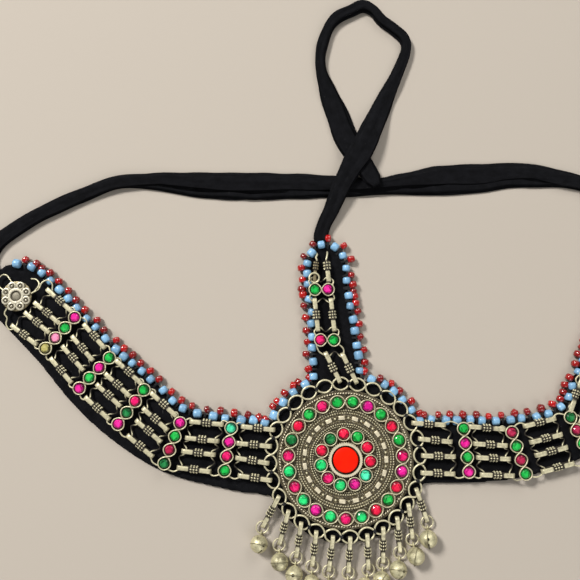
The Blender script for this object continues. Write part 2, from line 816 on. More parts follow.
def build_materials():
    """All materials of the headpiece, made once."""
    group = bpy.context.scene.headpiece_colours
    colours = {name: tuple(getattr(group, name)) for name in group.__annotations__}
    tarnish, weave = tarnish_group(), weave_group()
    pale, dark, dirt = colours["pale_silver"], colours["dark_silver"], colours["tarnish"]
    film = srgb(84, 76, 60)
    # colour, colour of the tarnish, patchiness and scale of the patches, bump, metallic
    for key, name, *look in (
        ("pale", "worn_silver", pale, dirt, 0.5, 620.0, 0.12, 0.4),
        ("dark", "tarnished_silver", dark, dirt, 0.7, 300.0, 0.12, 0.6),
        ("deep", "blackened_silver", shade(dark, 0.35), dirt, 0.9, 500.0, 0.12, 0.6),
        ("ground", "medallion_ground", dark, dirt, 0.55, 260.0, 0.55, 0.6),
        ("white", "rubbed_silver", srgb(234, 222, 190), film, 0.3, 500.0, 0.12, 0.4),
        ("rosette", "pressed_silver", srgb(208, 200, 176), film, 0.5, 700.0, 0.12, 0.4),
        ("bell", "bell_silver", srgb(214, 206, 166), srgb(78, 68, 46), 0.85, 300.0, 0.25, 0.45),
    ):
        MATERIALS[key] = metal(name, tarnish, *look)
    MATERIALS["band"] = cotton_material("band_cotton", weave, colours["cotton"], by_uv=False)
    MATERIALS["tie"] = cotton_material("tie_cotton", weave, colours["cotton"], by_uv=True)
    # colour, variation, coat, roughness
    for key, name, *look in (
        ("blue", "blue_beads", colours["blue_bead"], 0.3, 0.25, 0.34),
        ("red", "red_beads", colours["red_bead"], 0.62, 0.7, 0.2),
        ("thread", "sewing_thread", srgb(196, 190, 176), 0.3, 0.0, 0.9),
        ("stitch", "black_thread", srgb(20, 20, 22), 0.3, 0.0, 0.85),
    ):
        MATERIALS[key] = bead_material(name, *look)
    for name, colour in STONE_COLOURS.items():
        MATERIALS[f"stone_{name}"] = stone_material(f"stone_{name}", colour)
    MATERIALS["vermilion"] = centre_stone_material(colours["centre_stone"])


# Patterns, each modelled once


def granule(radius):
    made = ball(radius, 6, 4)
    bpy.ops.object.shade_smooth()
    return made


def binding(rows, ball_size, around):
    """The ribbed sleeve round the middle of a link: rows of granules on a dark core."""
    core = primitive("cylinder", vertices=14, radius=1.2, depth=3.3, rotation=ALONG_X)
    pick_faces(core, lambda c, n: abs(n.x) > 0.9)
    inset(0.3)
    leave()
    for side in (-1, 1):
        pick_faces(core, lambda c, n, side=side: n.x * side > 0.9 and c.yz.length < 0.1)
        shift((-0.25 * side, 0, 0))
        leave()
    smooth_faces(core, 50)
    parts = [paint(core, "deep", 0.75)]
    for x in rows:
        ring = [
            Matrix.Translation((x, *((1.7 - ball_size) * along(a))))
            for a in 90 + np.arange(around) * 360 / around
        ]
        row = scattered(granule(ball_size), ring)
        parts.append(paint(row, "pale", lambda co: (1.42 - co.yz.length) / 0.4))
    return stretched(joined(parts), (1, 0.88, 0.92))


def strip_loop():
    """A strip bent into a flat loop with rounded ends, waisted under its binding."""
    strip = primitive(
        "circle", vertices=20, radius=(LINK_HEIGHT - STRIP) / 2,
        rotation=(math.pi / 2, 0, 0), location=(0, -LINK_WIDTH / 2, 0),
    )
    half = (LINK_LENGTH - LINK_HEIGHT) / 2
    for side in (-1, 1):
        pick_points(strip, lambda co, side=side: co.x * side > 0.01)
        shift((side * half, 0, 0))
        leave()
    pick_points(strip)
    extrude((0, LINK_WIDTH, 0))
    leave()
    for x in (0.25 - half, -2.5, -1.85, 1.85, 2.5, half - 0.25):
        pick_faces(strip)
        bpy.ops.mesh.bisect(plane_co=(x, 0, 0), plane_no=(1, 0, 0))
        leave()
    pick_points(strip, lambda co: abs(co.x) < 0.01)
    scale_about((1, 0.8, 1))
    leave()
    edit_all(strip)
    bpy.ops.mesh.remove_doubles(threshold=0.001)
    bpy.ops.mesh.normals_make_consistent(inside=False)
    leave()
    apply_modifier(strip, "SOLIDIFY", thickness=STRIP, offset=0.0)
    round_edges(strip, 0.24, angle_limit=math.radians(50))
    smooth_faces(strip, 50)

    def dirt(co):
        if abs(co.x) < 2.0:
            return 0.9
        return max(0.45 if abs(co.y) > 0.42 * LINK_WIDTH else 0.0, (0.9 - co.z) * 0.7)

    return paint(strip, "pale", dirt)


def link_pattern():
    return joined([strip_loop(), binding(LINK_ROWS, 0.45, 8)])


def drop_pattern():
    """A narrower link with rows of small granules further apart."""
    return joined([stretched(strip_loop(), (1, 0.92, 1)), binding(DROP_ROWS, 0.4, 10)])


def link_copies(pattern, node):
    """The pattern laid along each link of a node, stretched or shortened beside its binding."""
    copies = []
    for middle, direction, length in link_axes(node):
        copy = twin(pattern, laid_along(middle, direction))
        for vertex in copy.data.vertices:
            if abs(vertex.co.x) > 2.0:
                vertex.co.x += math.copysign((length - LINK_LENGTH) / 2, vertex.co.x)
        copies.append(copy)
    return copies


def stone_pattern(radius, foot, girdle, table):
    """A faceted stone: straight sides to the girdle, two rows of crown facets and a flat table."""
    sides = 12
    stone = primitive("circle", vertices=sides, radius=radius, fill_type="NGON", location=(0, 0, foot))
    turn = math.pi / sides
    rise = table - girdle
    for lift, shrink, angle in (
        (girdle - foot, 1.0, 0.0),
        (0.55 * rise, 0.87, turn),
        (0.45 * rise, 0.74, turn),
    ):
        top = max(v.co.z for v in stone.data.vertices)
        centre = (0, 0, top + lift)
        pick_faces(stone, lambda c, n, top=top: abs(c.z - top) < 0.001)
        extrude((0, 0, lift))
        scale_about((shrink, shrink, 1), centre)
        bpy.ops.transform.rotate(value=angle, orient_axis="Z", center_override=centre)
        leave()
    edit_all(stone)
    bpy.ops.mesh.quads_convert_to_tris(quad_method="SHORTEST_DIAGONAL")
    bpy.ops.mesh.normals_make_consistent(inside=False)
    leave()
    stone.data.attributes.new("tone", "FLOAT", "FACE")
    return stone


def lit_stone(pattern, x, y, colour, chance, rim):
    """A copy of a stone whose facets each throw back their own share of light, less of it at the rim."""
    stone = paint(twin(pattern, place_at(x, y, 0, chance.uniform(0, 360))), f"stone_{colour}")
    layer = stone.data.attributes["tone"].data
    for face in stone.data.polygons:
        if face.normal.z > 0.98 and face.area > 1:
            layer[face.index].value = chance.uniform(0.52, 0.78)
        else:
            toward = face.normal.x * 0.55 - face.normal.y * 0.5
            level = 0.28 if face.normal.z > 0.7 else rim
            layer[face.index].value = clamped(level + 0.5 * toward + chance.uniform(-0.2, 0.28))
    return stone


def cup_pattern():
    """A round cup that is open on top, for one stone of a spacer."""
    cup = cylinder(20, 2.2, CUP_TOP - CUP_FOOT, (CUP_TOP + CUP_FOOT) / 2)
    sink_top(cup, 0.22, 1.75)
    pick_faces(cup, lambda c, n: n.z < -0.9)
    scale_about((0.86, 0.86, 1), (0, 0, CUP_FOOT))
    leave()
    smooth_faces(cup)
    return paint(cup, "dark", lambda co: 1.0 if co.xy.length < 2.1 else (CUP_TOP - co.z) / 1.6)


def bar(length, width, low, high, material, grime):
    """A straight bar along Y with rounded edges."""
    made = primitive("cube", size=1, scale=(width, length, high - low), location=(0, 0, (low + high) / 2))
    round_edges(made, 0.2)
    smooth_faces(made)
    return paint(made, material, grime)


def rim_path(offsets, pitch, radius):
    """The wire that rims a row of cups: it crosses itself between each two of them."""
    half = [(*((0, offsets[0]) + radius * along(a)), 0) for a in (90, 70, 50, 30, 12)]
    side = 1
    for j, offset in enumerate(offsets[:-1]):
        for f in np.arange(0, 12) / 12:
            reach = math.copysign(abs(math.cos(math.pi * f)) ** 0.72, math.cos(math.pi * f))
            lift = 0.3 * (-1) ** j * math.exp(-(((f - 0.5) / 0.16) ** 2))
            half.append((side * radius * reach, offset - pitch * f, lift))
        side = -side
    half += [(*((0, offsets[-1]) + radius * along(-a) * (side, 1)), 0) for a in (0, 18, 36, 54, 72, 90)]
    return half + [(-u, v, -lift) for u, v, lift in reversed(half[1:-1])]


def crests(name, station):
    """Where a station's side wires pass through the eyes of its links: u and v from its middle, by side."""
    nodes = [node for node, *ends in LINK_RUNS if name in ends]
    if name == "crown_spacer_1":
        nodes.append("crown_hooks")
    found = {-1: [], 1: []}
    middle = np.array(station[:2])
    for node in nodes:
        for centre, direction, length in link_axes(node):
            ends = [centre + s * direction * length / 2 for s in (-1, 1)]
            near = min(ends, key=lambda end: np.linalg.norm(end[:2] - middle))
            inward = (centre - near) / np.linalg.norm(centre - near)
            eye = (near + inward * 1.5)[:2] - middle
            u, v = eye @ along(station[2]), eye @ along(station[2] + 90)
            found[1 if u > 0 else -1].append((u, v))
    return [sorted(rows, key=lambda p: -p[1]) for rows in found.values() if rows]


def outer_arc(eye, side, end_u, end_v):
    """The round outer stretch of a side wire, from the station's corner to the eye of the last link."""
    run = np.array((abs(eye[0]) - end_u, eye[1] - end_v))
    length = np.linalg.norm(run)
    outward = np.array((-run[1], run[0])) / length
    bulge = min(1.15, 0.34 * length)
    arc = []
    for t in (0.22, 0.5, 0.8):
        u, v = (end_u, end_v) + t * run + bulge * math.sin(math.pi * t) * outward
        arc.append((side * u, v, WIRE_Z + 0.3 * (1 - t)))
    return arc


def side_path(rows, end_v, end_u, notch):
    """A wire from the station's upper end through each eye in turn, stepping back between them."""
    side = math.copysign(1, rows[0][0])
    reach = 1.15
    last = len(rows) - 1
    path = [(side * end_u, end_v, WIRE_Z + 0.35)]
    path += outer_arc(rows[0], side, end_u, end_v)
    for k, (u, v) in enumerate(rows):
        if k > 0:
            path.append((u, v + reach, WIRE_Z))
        path.append((u + side * 0.08, v, WIRE_Z))
        if k < last:
            path.append((u, v - reach, WIRE_Z))
            nearest = min(abs(u), abs(rows[k + 1][0]))
            path.append((side * max(notch, nearest - 1.45), (v + rows[k + 1][1]) / 2, WIRE_Z - 0.75))
    path += [(u, -v, z) for u, v, z in reversed(outer_arc((rows[-1][0], -rows[-1][1]), side, end_u, end_v))]
    path.append((side * end_u, -end_v, WIRE_Z + 0.35))
    return smooth_path(path, SIDE_STEPS)


def side_wires(station, paths):
    """Side wires of a station, duller where they dip behind the cups."""
    placed = [on_station(station, path) for path in paths]
    return wires(placed, in_mm("side_wire") / 2, "pale", grime=lambda co: 0.5 + (WIRE_Z - co.z) * 1.1)


# Operators, one for each group of like pieces


class HEADPIECE_OT_links(bpy.types.Operator):
    """Bound links between the stations, each a bent strip with a granulated sleeve"""

    bl_idname = "headpiece.links"
    bl_label = "Bound links"

    def execute(self, context):
        pattern = link_pattern()
        for node, *_ in LINK_RUNS:
            settled("bound_" + node, link_copies(pattern, node), [node])
        remove(pattern)
        return {"FINISHED"}


class HEADPIECE_OT_drop_links(bpy.types.Operator):
    """Hanging links under the medallion, and the rings that hold the bells"""

    bl_idname = "headpiece.drop_links"
    bl_label = "Hanging links and rings"

    def execute(self, context):
        pattern = drop_pattern()
        settled("hanging_links", link_copies(pattern, "drop_links"), ["drop_links"])
        remove(pattern)
        rings = []
        chance = random.Random(5)
        for part in loose_parts("drop_rings"):
            x, y, z = middle_of(part)
            radius = np.ptp(part[:, 0]) / 2 - 0.36
            turn, flat = chance.uniform(0, 60), chance.uniform(0.02, 0.05)
            ring = []
            for a in range(0, 360, 10):
                reach = radius * (1 + flat * math.cos(math.radians(2 * (a - turn))))
                ring.append((*((x, y) + reach * along(a)), z))
            rings.append(ring)
        settled("bell_rings", [wires(rings, 0.29, "pale", closed=True)], ["drop_rings"])
        return {"FINISHED"}


class HEADPIECE_OT_crown_hooks(bpy.types.Operator):
    """Two hooks that hold the crown spacers to the cloth"""

    bl_idname = "headpiece.crown_hooks"
    bl_label = "Crown hooks"

    # For each hook: offset from the crown's middle, heading, slimness, tail of wire
    HOOKS = (
        (3.05, 96, 1.0, (
            (10.4, 0.1, 0.2), (11.6, 0.0, 0.5), (12.8, -0.4, 0.3), (13.9, -0.7, -0.3), (14.6, -0.8, -1.4),
        )),
        (-3.05, 84, 0.74, (
            (10.2, 0.4, 0.0), (11.2, -0.2, 0.4), (12.3, 0.3, 0.3), (13.4, -0.1, -0.3), (14.2, 0.1, -1.4),
        )),
    )

    def execute(self, context):
        x, y = STATIONS["crown_spacer_1"][:2]
        half = link_pattern()
        edit_all(half)
        bpy.ops.mesh.bisect(plane_co=(1.85, 0, 0), plane_no=(1, 0, 0), clear_outer=True, use_fill=True)
        leave()
        parts, tails = [], []
        for offset, heading, slim, tail in self.HOOKS:
            foot = place_at(x + offset, y, WIRE_Z, heading)
            hook = twin(half, foot @ Matrix.Translation((3.0 + LINK_LENGTH / 2 - 0.2, 0, 0)))
            hook.data.transform(Matrix.Diagonal((1, slim, slim, 1)))
            if slim < 1:
                for slot in hook.material_slots:
                    slot.material = MATERIALS["dark"]
            parts.append(hook)
            tails.append([tuple(foot @ Vector(p)) for p in smooth_path(tail, 6)])
        remove(half)
        curl = []
        for a in range(0, 400, 16):
            curl.append((*((x - 2.7, y + 4.3) + (2.0 - a / 900) * along(200 - a)), WIRE_Z + 1.8 - a / 400))
        parts.append(wires([*tails, curl], 0.34, "pale"))
        settled("bound_crown_hooks", parts, ["crown_hooks"])
        return {"FINISHED"}


class HEADPIECE_OT_spacers(bpy.types.Operator):
    """Spacers: joined cups rimmed by one crossing wire, with side wires through the links"""

    bl_idname = "headpiece.spacers"
    bl_label = "Spacers"

    def execute(self, context):
        cup = cup_pattern()
        for name, station in STATIONS.items():
            pitch, offsets = stone_offsets(station)
            parts = [twin(cup, place_at(*station_point(station, 0, v), 0, station[2])) for v in offsets]
            under = bar((len(offsets) - 1) * pitch, 1.5, CUP_FOOT, WIRE_Z, "deep", 0.4)
            under.matrix_world = place_at(*station[:2], 0, station[2])
            rim = [(u, v, CUP_TOP + 0.02 + lift) for u, v, lift in rim_path(offsets, pitch, 2.32)]
            wire = wires([on_station(station, rim)], in_mm("rim_wire") / 2, "pale", closed=True)
            paths = [side_path(rows, offsets[0] + 1.55, 1.5, 2.2) for rows in crests(name, station)]
            settled("set_" + name, [*parts, under, wire, side_wires(station, paths)], [name])
        remove(cup)
        return {"FINISHED"}


class HEADPIECE_OT_rosettes(bpy.types.Operator):
    """Pressed rosettes of eight ringed petals at the band's ends"""

    bl_idname = "headpiece.rosettes"
    bl_label = "Rosettes"

    def petal(self):
        """A small pressed ring with a ball in its middle."""
        ring = torus(1.27, 0.36, 18, 7, location=(0, 0, 4.08))
        floor = cylinder(14, 1.15, 0.5, 3.72)
        bead = ball(0.5, 10, 6, location=(0, 0, 3.98))
        for part in (ring, floor, bead):
            smooth_faces(part, 30)
        return joined([
            paint(ring, "rosette", lambda co: (4.02 - co.z) * 3 + 0.35),
            paint(floor, "rosette", 0.95),
            paint(bead, "rosette", lambda co: 0.46 + (4.3 - co.z) * 1.4),
        ])

    def heart(self):
        """The raised middle: a flat ring round a sunken dome, on a dark backing disc."""
        plate = cylinder(28, 3.05, 2.65, 3.1)
        sink_top(plate, 1.05, 0.45)
        round_edges(plate, 0.14)
        smooth_faces(plate)
        dome = ball(1.5, 18, 8, scale=(1, 1, 0.18), location=(0, 0, 3.98))
        bpy.ops.object.shade_smooth()
        backing = cylinder(36, 5.65, 0.7, 3.4)
        round_edges(backing, 0.15)
        smooth_faces(backing)
        return joined([
            paint(plate, "rosette", lambda co: 0.9 if co.xy.length < 1.95 else 0.4 + (4.4 - co.z) * 2),
            paint(dome, "rosette", 0.62),
            paint(backing, "dark", 0.45),
        ])

    def execute(self, context):
        petal, heart = self.petal(), self.heart()
        for name, station in ROSETTES.items():
            where = place_at(*station[:2], 0, station[2])
            parts = [twin(heart, where)]
            for x, y, _ in round_ring(4.12, 8, 26.5):
                parts.append(twin(petal, where @ Matrix.Translation((x, y, 0))))
            towards = 1 if name.endswith("left") else -1
            rows = crests(name, station)[0]
            inner = [(abs(u), v, z) for u, v, z in side_path(rows, 11.0, 0.5, 5.2)]
            first, last = ((abs(u), v, WIRE_Z) for u, v in (rows[0], rows[-1]))
            # the curl and the foot take the place of the wire's two outer arcs
            arc = 4 * SIDE_STEPS
            outer = [*ROSETTE_CURL, first], [last, *ROSETTE_FOOT], ROSETTE_HOOK, ROSETTE_FAR
            paths = [inner[arc:-arc], *(smooth_path(path, SIDE_STEPS) for path in outer)]
            hooks = side_wires(station, [[(towards * u, v, z) for u, v, z in path] for path in paths])
            settled("pressed_" + name, [*parts, hooks], [name])
        remove(petal, heart)
        return {"FINISHED"}


class HEADPIECE_OT_medallion(bpy.types.Operator):
    """The medallion: hatched ground, granule rings, bars, settings, bezel and crossing edge wires"""

    bl_idname = "headpiece.medallion"
    bl_label = "Medallion"

    def plate(self):
        plate = cylinder(112, 25.1, PLATE_TOP - PLATE_FOOT, (PLATE_TOP + PLATE_FOOT) / 2)
        # each step in from the edge: how far in, how far up
        for inward, lift in (
            (0.35, 0.25), (1.3, 0.0), (0.25, -0.22), (4.6, 0.0), (0.3, 0.25),
            (2.6, 0.0), (2.9, 0.0), (0.3, -0.2), (3.0, 0.0),
        ):
            pick_faces(plate, lambda c, n: n.z > 0.99 and c.xy.length < 0.1)
            inset(inward)
            shift((0, 0, lift))
            leave()
        smooth_faces(plate, 30)
        return paint(plate, "ground", lambda co: 0.28 if co.z > 2.5 else 0.8)

    def ball_ring(self, radius, size, count, material, rise, stretch=1.0, slant=0.0, first=0.0):
        """A ring of granules on the plate, all stretched and slanted alike."""
        height = PLATE_TOP + rise
        places = [place_at(x, y, height, a + slant) for x, y, a in round_ring(radius, count, first)]
        ring = scattered(stretched(granule(size), (1, stretch, 1)), places)
        bpy.ops.object.shade_smooth()
        return paint(ring, material, lambda co: 0.2 + (height + 0.25 - co.z) * 1.6)

    def setting(self, radius, rimmed):
        """A round cup for a stone, with a wire on its rim unless crossing wires rim the whole ring."""
        wall = cylinder(22, radius, 1.5, PLATE_TOP + 0.65)
        sink_top(wall, 0.25, 1.3)
        smooth_faces(wall)
        paint(wall, "dark", lambda co: 1.0 if co.xy.length < radius - 0.1 else PLATE_TOP + 1.3 - co.z)
        if not rimmed:
            return wall
        rim = torus(radius + 0.02, 0.2, 22, 6, location=(0, 0, PLATE_TOP + 1.42))
        bpy.ops.object.shade_smooth()
        return joined([wall, paint(rim, "pale")])

    def bezel(self):
        """The raised ring round the centre stone, its outer edge notched all round."""
        teeth = 46
        ring = cylinder(2 * teeth, 6.4, 2.2, PLATE_TOP + 0.9)
        pick_top(ring)
        inset(0.35)
        shift((0, 0, 0.2))
        inset(0.78)
        inset(0.12)
        extrude((0, 0, -1.9))
        leave()
        step = math.pi / teeth
        pick_points(ring, lambda co: co.xy.length > 6.2 and round(math.atan2(co.x, co.y) / step) % 2 == 0)
        scale_about((0.925, 0.925, 1))
        leave()
        smooth_faces(ring, 25)
        return paint(ring, "white", lambda co: 1.0 if co.xy.length < 5.2 else (PLATE_TOP + 1.7 - co.z) * 0.7)

    def crossing_wires(self, ring, first, holes, reach, height, radius):
        """Wires that run round both sides of each hole of a ring and cross between each two of them."""
        steps = 12
        rounds = 1 + holes % 2
        paths = []
        for sign in (-1, 1)[holes % 2:]:
            path = []
            for k in range(rounds * holes * steps):
                hole = k / steps
                phase = math.cos(math.pi * hole)
                offset = sign * reach * math.copysign(abs(phase) ** 0.58, phase)
                near = hole - math.floor(hole) - 0.5
                lift = sign * radius * (-1) ** math.floor(hole) * math.exp(-((near / 0.14) ** 2))
                path.append((*((ring + offset) * along(first - hole * 360 / holes)), height + lift))
            paths.append(path)
        return wires(paths, radius, "pale", closed=True)

    def execute(self, context):
        parts = [self.plate()]
        # radius, size, count, material, rise above the plate, stretch, slant and first heading
        for row in (
            (23.95, 0.3, 150, "white", 0.36, 1.5, 28.0),
            (17.7, 0.33, 122, "pale", 0.2),
            (16.75, 0.3, 116, "pale", 0.2),
            (12.75, 0.33, 92, "pale", 0.2),
            (11.95, 0.27, 90, "pale", 0.2),
            (BAR_RING, 0.5, BARS, "pale", 0.3, 1.0, 0.0, 180 / BARS),
        ):
            parts.append(self.ball_ring(*row))
        one_bar = bar(
            2.3, 1.45, PLATE_TOP - 0.1, PLATE_TOP + 0.75, "white", lambda co: (PLATE_TOP + 0.4 - co.z) * 2
        )
        parts.append(scattered(one_bar, [place_at(x, y, 0, a) for x, y, a in round_ring(BAR_RING, BARS)]))
        for (ring, first, stones), radius, rimmed in ((OUTER_RING, 2.3, False), (INNER_RING, 2.34, True)):
            places = [place_at(x, y, 0) for x, y, _ in round_ring(ring, len(stones), first, -1)]
            parts.append(scattered(self.setting(radius, rimmed), places))
        ring, first, stones = OUTER_RING
        rims = self.crossing_wires(ring, first, len(stones), 2.42, PLATE_TOP + 1.42, 0.2)
        edge = self.crossing_wires(EDGE_RADIUS, EDGE_FIRST, EDGE_HOLES, 2.3, WIRE_Z, in_mm("edge_wire") / 2)
        settled("dressed_medallion", [*parts, self.bezel(), rims, edge], ["medallion"])
        self.stitches()
        return {"FINISHED"}

    def stitches(self):
        """Black thread that sews every other crossing of the edge wires to the cotton."""
        chance = random.Random(11)
        turns = []
        for k in range(1, EDGE_HOLES, 2):
            a = EDGE_FIRST + (k + 0.5) * 360 / EDGE_HOLES
            outward, beside = along(a), along(a + 90)
            for lane in (-0.34, 0.0, 0.34):
                path = []
                skew = chance.uniform(-0.25, 0.25)
                for t in range(0, 360, 30):
                    out = 0.8 * along(t)[0]
                    at = (EDGE_RADIUS + out) * outward + (lane + skew * out) * beside
                    path.append((*at, WIRE_Z - 0.2 + 1.05 * along(t)[1]))
                turns.append(path)
        settled("edge_stitches", [wires(turns, 0.19, "stitch", closed=True, sides=1)])


class HEADPIECE_OT_stones(bpy.types.Operator):
    """Foiled glass stones of the medallion and the spacers"""

    bl_idname = "headpiece.stones"
    bl_label = "Stones"

    def execute(self, context):
        chance = random.Random(23)
        low = stone_pattern(*LOW_STONE)
        for name, (ring, first, stones), slot in (
            ("outer_stones", OUTER_RING, "stone_green"),
            ("inner_stones", INNER_RING, "stone_red"),
        ):
            made = []
            for colour, (x, y, _) in zip(stones, round_ring(ring, len(stones), first, -1)):
                made.append(lit_stone(low, x, y, colour, chance, 0.12))
            settled("foiled_" + name, made, ["medallion_" + name])
        high = stone_pattern(*HIGH_STONE)
        for node, spacers, slot in (
            ("spacer_stones_left", "spacer_left", "stone_magenta"),
            ("spacer_stones_right", "spacer_right", "stone_magenta"),
            ("crown_stones", "crown_spacer", "stone_green"),
        ):
            made = []
            for station in (STATIONS[name] for name in STATIONS if name.startswith(spacers)):
                for colour, v in zip(station[3].split(), stone_offsets(station)[1]):
                    made.append(lit_stone(high, *station_point(station, 0, v), colour, chance, 0.0))
            settled("foiled_" + node, made, [node])
        remove(low, high)
        self.centre_stone()
        return {"FINISHED"}

    def centre_stone(self):
        stone = cylinder(64, 4.55, 1.95, 4.1)
        pick_top(stone)
        for inward, lift in ((0.45, 0.16), (1.6, 0.07)):
            inset(inward)
            shift((0, 0, lift))
        leave()
        round_edges(stone, 0.12)
        smooth_faces(stone, 50)
        paint(stone, "vermilion")
        settled("flat_centre_stone", [stone], ["medallion_centre_stone"])


class HEADPIECE_OT_bells(bpy.types.Operator):
    """Finish of the bells, and the seam and cap soldered on each"""

    bl_idname = "headpiece.bells"
    bl_label = "Bells"

    def centre_of(self, bell):
        """The middle of a bell's shell, fitted to the points that lie on its sphere."""
        points = loose_parts(bell)[0]
        centre = points[points[:, 2] > 3.3].mean(axis=0)
        for _ in range(4):
            far = np.linalg.norm(points - centre, axis=1)
            kept = points[(far > 2.9) & (far < 3.3)]
            terms = np.column_stack((2 * kept, np.ones(len(kept))))
            centre = np.linalg.lstsq(terms, (kept**2).sum(axis=1), rcond=None)[0][:3]
        return centre

    def execute(self, context):
        seam = torus(3.14, 0.14, 40, 6, rotation=ALONG_X)
        bpy.ops.object.shade_smooth()
        cap = primitive(
            "cone", vertices=16, radius1=1.0, radius2=0.5, depth=0.5, location=(3.2, 0, 0), rotation=ALONG_X
        )
        smooth_faces(cap, 60)
        pattern = paint(joined([seam, cap]), "bell", lambda co: 0.6 if co.x < 3.0 else 0.0)
        rings = [middle_of(part) for part in loose_parts("drop_rings")]
        seams = []
        for name in sorted(node for node in NODES if node.startswith("bell_")):
            centre = self.centre_of(name)
            ring = min(rings, key=lambda r: np.linalg.norm(r - centre))
            seams.append(twin(pattern, laid_along(centre, ring - centre)))
            for slot in NODES[name].material_slots:
                slot.material = MATERIALS["bell"]
        remove(pattern)
        settled("bell_seams", seams)
        return {"FINISHED"}


class HEADPIECE_OT_cotton_band(bpy.types.Operator):
    """The doubled cotton of the band, with its turned hem and small creases"""

    bl_idname = "headpiece.cotton_band"
    bl_label = "Cotton band"

    def execute(self, context):
        band = twin(NODES["cloth_band"], Matrix.Identity(4))
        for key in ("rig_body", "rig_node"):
            if key in band:
                del band[key]
        band.parent = None
        band.matrix_world = Matrix.Identity(4)
        band.data.transform(Matrix.Scale(1 / MM, 4))
        edit_all(band)
        bpy.ops.mesh.remove_doubles(threshold=0.002)
        leave()
        apply_modifier(band, "REMESH", mode="VOXEL", voxel_size=0.72)
        apply_modifier(band, "SMOOTH", factor=0.5, iterations=2)
        rim = even_steps(band_outline(), 1.0, closed=True)
        places = np.array([tuple(v.co) for v in band.data.vertices])
        inside = np.empty(len(places))
        for at in range(0, len(places), 4000):
            gap = places[at:at + 4000, None, :2] - rim[None]
            inside[at:at + 4000] = np.sqrt((gap**2).sum(axis=2).min(axis=1))
        for vertex, depth in zip(band.data.vertices, inside):
            x, y, z = vertex.co
            far = math.hypot(x, y)
            if PAD_INNER < far < PAD_OUTER:
                rising = (far - PAD_INNER) / (PAD_EDGE - PAD_INNER)
                spread = min(rising, (PAD_OUTER - far) / (PAD_OUTER - PAD_EDGE))
                lower = 0.55 + 0.45 * clamped(-(y + 5) / 8)
                vertex.co.xy *= 1 + PAD_SPREAD * lower * spread / far
            if z < 0.7:
                continue
            crease = ripple(x * 0.09, y * 0.09, 3.0) + 0.5 * ripple(x * 0.3, y * 0.22, 8.0)
            hem = 0.32 * math.exp(-((depth - 1.1) / 0.9) ** 2) - 0.3 * math.exp(-((depth - 2.6) / 0.35) ** 2)
            pucker = 0.1 * math.sin(depth * 0.6 + 2.2 * (x - y)) * math.exp(-((depth - 2.4) / 0.9) ** 2)
            vertex.co.z += (0.16 * crease + hem * 0.6 + pucker) * min(1.0, (z - 0.7) / 0.5)
        only(band)
        bpy.ops.object.shade_smooth()
        paint(band, "band")
        settled("cotton_band", [band], ["cloth_band"])
        return {"FINISHED"}


class HEADPIECE_OT_ties(bpy.types.Operator):
    """The two ties: strips of cotton folded in three lengthwise"""

    bl_idname = "headpiece.ties"
    bl_label = "Folded ties"

    def tie(self, name, rows, seed, flat, crease_ends=(0, 0)):
        """A folded tie; between the crease ends its top fold stops short and shows its edge."""
        path = even_steps(smooth_path(rows, 12), 1.1)
        count = len(path)
        _, side = directions(path)
        # across the strip: share of the way through its layer, and which layer
        shares = (0, 0.13, 0.25, 0.38, 0.5, 0.63, 0.75, 0.87, 1)
        folds = [(share, layer) for layer in (0, 1) for share in shares]
        folds += [(share, 2) for share in (*shares[:0:-1], 0.03, 0)]
        vertices, coordinates, creases = [], [], []
        for i in range(count):
            x, y, width, foot = path[i]
            height = clamped(13 / width, 1.4, 2.6) - 0.35
            width *= 0.5 + 0.5 * min(1.0, (count - 1 - i) / 3)
            along_tie = i / count
            shown = clamped(min(along_tie - crease_ends[0], crease_ends[1] - along_tie) * 25)
            edge = -0.44 + shown * (0.3 + 0.12 * ripple(i * 0.035, seed, 7.0))
            for j, (share, layer) in enumerate(folds):
                left, right = ((-0.5, 0.47), (0.5, -0.46), (edge, 0.4))[layer]
                across = left + (right - left) * share
                side_seed = seed + (5 if across > 0 else 0)
                wander = 1 + 0.12 * ripple(i * 0.1, side_seed, layer)
                z = 0.2 + height * layer / 2
                z -= 0.34 * height * (2 * abs(across)) ** 4 * (layer - 1) * 0.5
                fold = ripple(i * 0.03, across * 7 + seed, layer * 5.0)
                fine = ripple(i * 0.16, across * 16, seed + layer)
                ridge = math.sin(9 * across + 2.5 * ripple(i * 0.02, seed, 4.0))
                lift = (0.34 * fold + 0.14 * fine + 0.16 * ridge) * (1.0 if layer == 2 else 0.3)
                z = max(0.2, z + lift) + max(0.0, foot)
                vertices.append((*((x, y) + side[i] * (across * width * wander)), z))
                coordinates.append((i * 1.1 * MM, j * 0.9 * MM))
                creases.append(shown if layer == 2 and share == 0 else 0.0)
        width = len(folds)
        corners = [i * width + j for i in range(count - 1) for j in range(width - 1)]
        mesh = bpy.data.meshes.new(name)
        mesh.from_pydata(vertices, [], [(k, k + 1, k + width + 1, k + width) for k in corners])
        strip = bpy.data.objects.new(name, mesh)
        bpy.context.collection.objects.link(strip)
        uv = mesh.uv_layers.new(name="along_tie")
        for loop in mesh.loops:
            uv.data[loop.index].uv = coordinates[loop.vertex_index]
        mesh.attributes.new("crease", "FLOAT", "POINT").data.foreach_set("value", creases)
        apply_modifier(strip, "SOLIDIFY", thickness=0.34, offset=0.0)
        bpy.ops.object.shade_smooth()
        paint(strip, "tie")
        settled("folded_" + name, [strip], [name])

    def execute(self, context):
        self.tie("back_tie", BACK_TIE, 3.0, (0.022, 0.277), (0.24, 0.84))
        self.tie("top_tie", TOP_TIE, 9.0, (0.018, 0.205))
        return {"FINISHED"}


